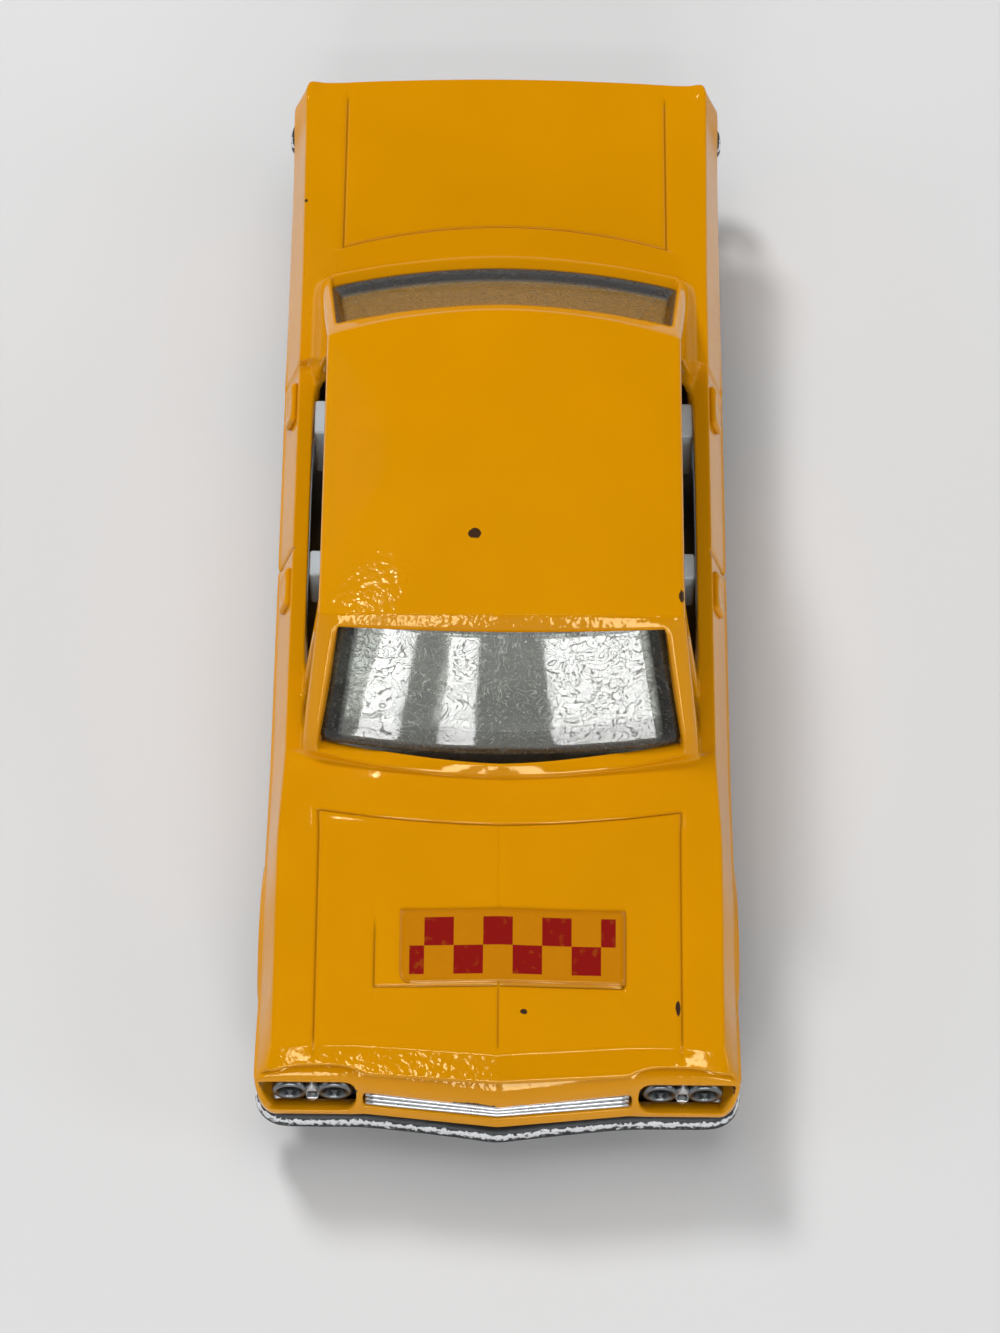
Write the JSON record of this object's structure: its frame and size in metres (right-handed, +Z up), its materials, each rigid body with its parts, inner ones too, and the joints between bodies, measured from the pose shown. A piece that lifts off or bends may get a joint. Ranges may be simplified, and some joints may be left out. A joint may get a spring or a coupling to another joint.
{
  "type": "toy taxi",
  "caption": "Pocket-size die-cast toy saloon taxi: yellow shell body on a metal base with bumpers, clear windows, seats, a hood label and free-rolling wheels on pin axles.",
  "frame": {"origin": "middle of the bounding box, on the ground under the wheels", "axes": "+Z up, the nose points along -Y, +X towards the car's left side, where the steering wheel is"},
  "size_m": [0.03, 0.0764, 0.0205],
  "materials": {
    "enamel": "gloss orange-yellow enamel",
    "bare_zinc": "bare dull grey casting with silver paint on the bumpers",
    "clear_plastic": "clear",
    "seat_plastic": "off-white",
    "axle_steel": "bright",
    "wheel_plastic": "satin black",
    "label_film": "printed amber film"
  },
  "bodies": {
    "chassis": {"body_shell": "enamel", "base_plate": "bare_zinc", "window_unit": "clear_plastic", "seat_unit": "seat_plastic", "hood_label": "label_film"},
    "front_axle": {"front_axle": "axle_steel"},
    "rear_axle": {"rear_axle": "axle_steel"},
    "front_left_wheel": {"front_left_wheel": "wheel_plastic"},
    "front_right_wheel": {"front_right_wheel": "wheel_plastic"},
    "rear_left_wheel": {"rear_left_wheel": "wheel_plastic"},
    "rear_right_wheel": {"rear_right_wheel": "wheel_plastic"}
  },
  "joints": [
    {"name": "front_axle_spin", "type": "hinge", "parent": "chassis", "child": "front_axle", "pos_m": [0, -0.02535, 0.0046], "axis": [1, 0, 0], "continuous": true},
    {"name": "rear_axle_spin", "type": "hinge", "parent": "chassis", "child": "rear_axle", "pos_m": [0, 0.01775, 0.0046], "axis": [1, 0, 0], "continuous": true},
    {"name": "front_left_wheel_spin", "type": "hinge", "parent": "front_axle", "child": "front_left_wheel", "pos_m": [0, -0.02535, 0.0046], "axis": [1, 0, 0], "continuous": true},
    {"name": "front_right_wheel_spin", "type": "hinge", "parent": "front_axle", "child": "front_right_wheel", "pos_m": [0, -0.02535, 0.0046], "axis": [1, 0, 0], "continuous": true},
    {"name": "rear_left_wheel_spin", "type": "hinge", "parent": "rear_axle", "child": "rear_left_wheel", "pos_m": [0, 0.01775, 0.0046], "axis": [1, 0, 0], "continuous": true},
    {"name": "rear_right_wheel_spin", "type": "hinge", "parent": "rear_axle", "child": "rear_right_wheel", "pos_m": [0, 0.01775, 0.0046], "axis": [1, 0, 0], "continuous": true}
  ]
}
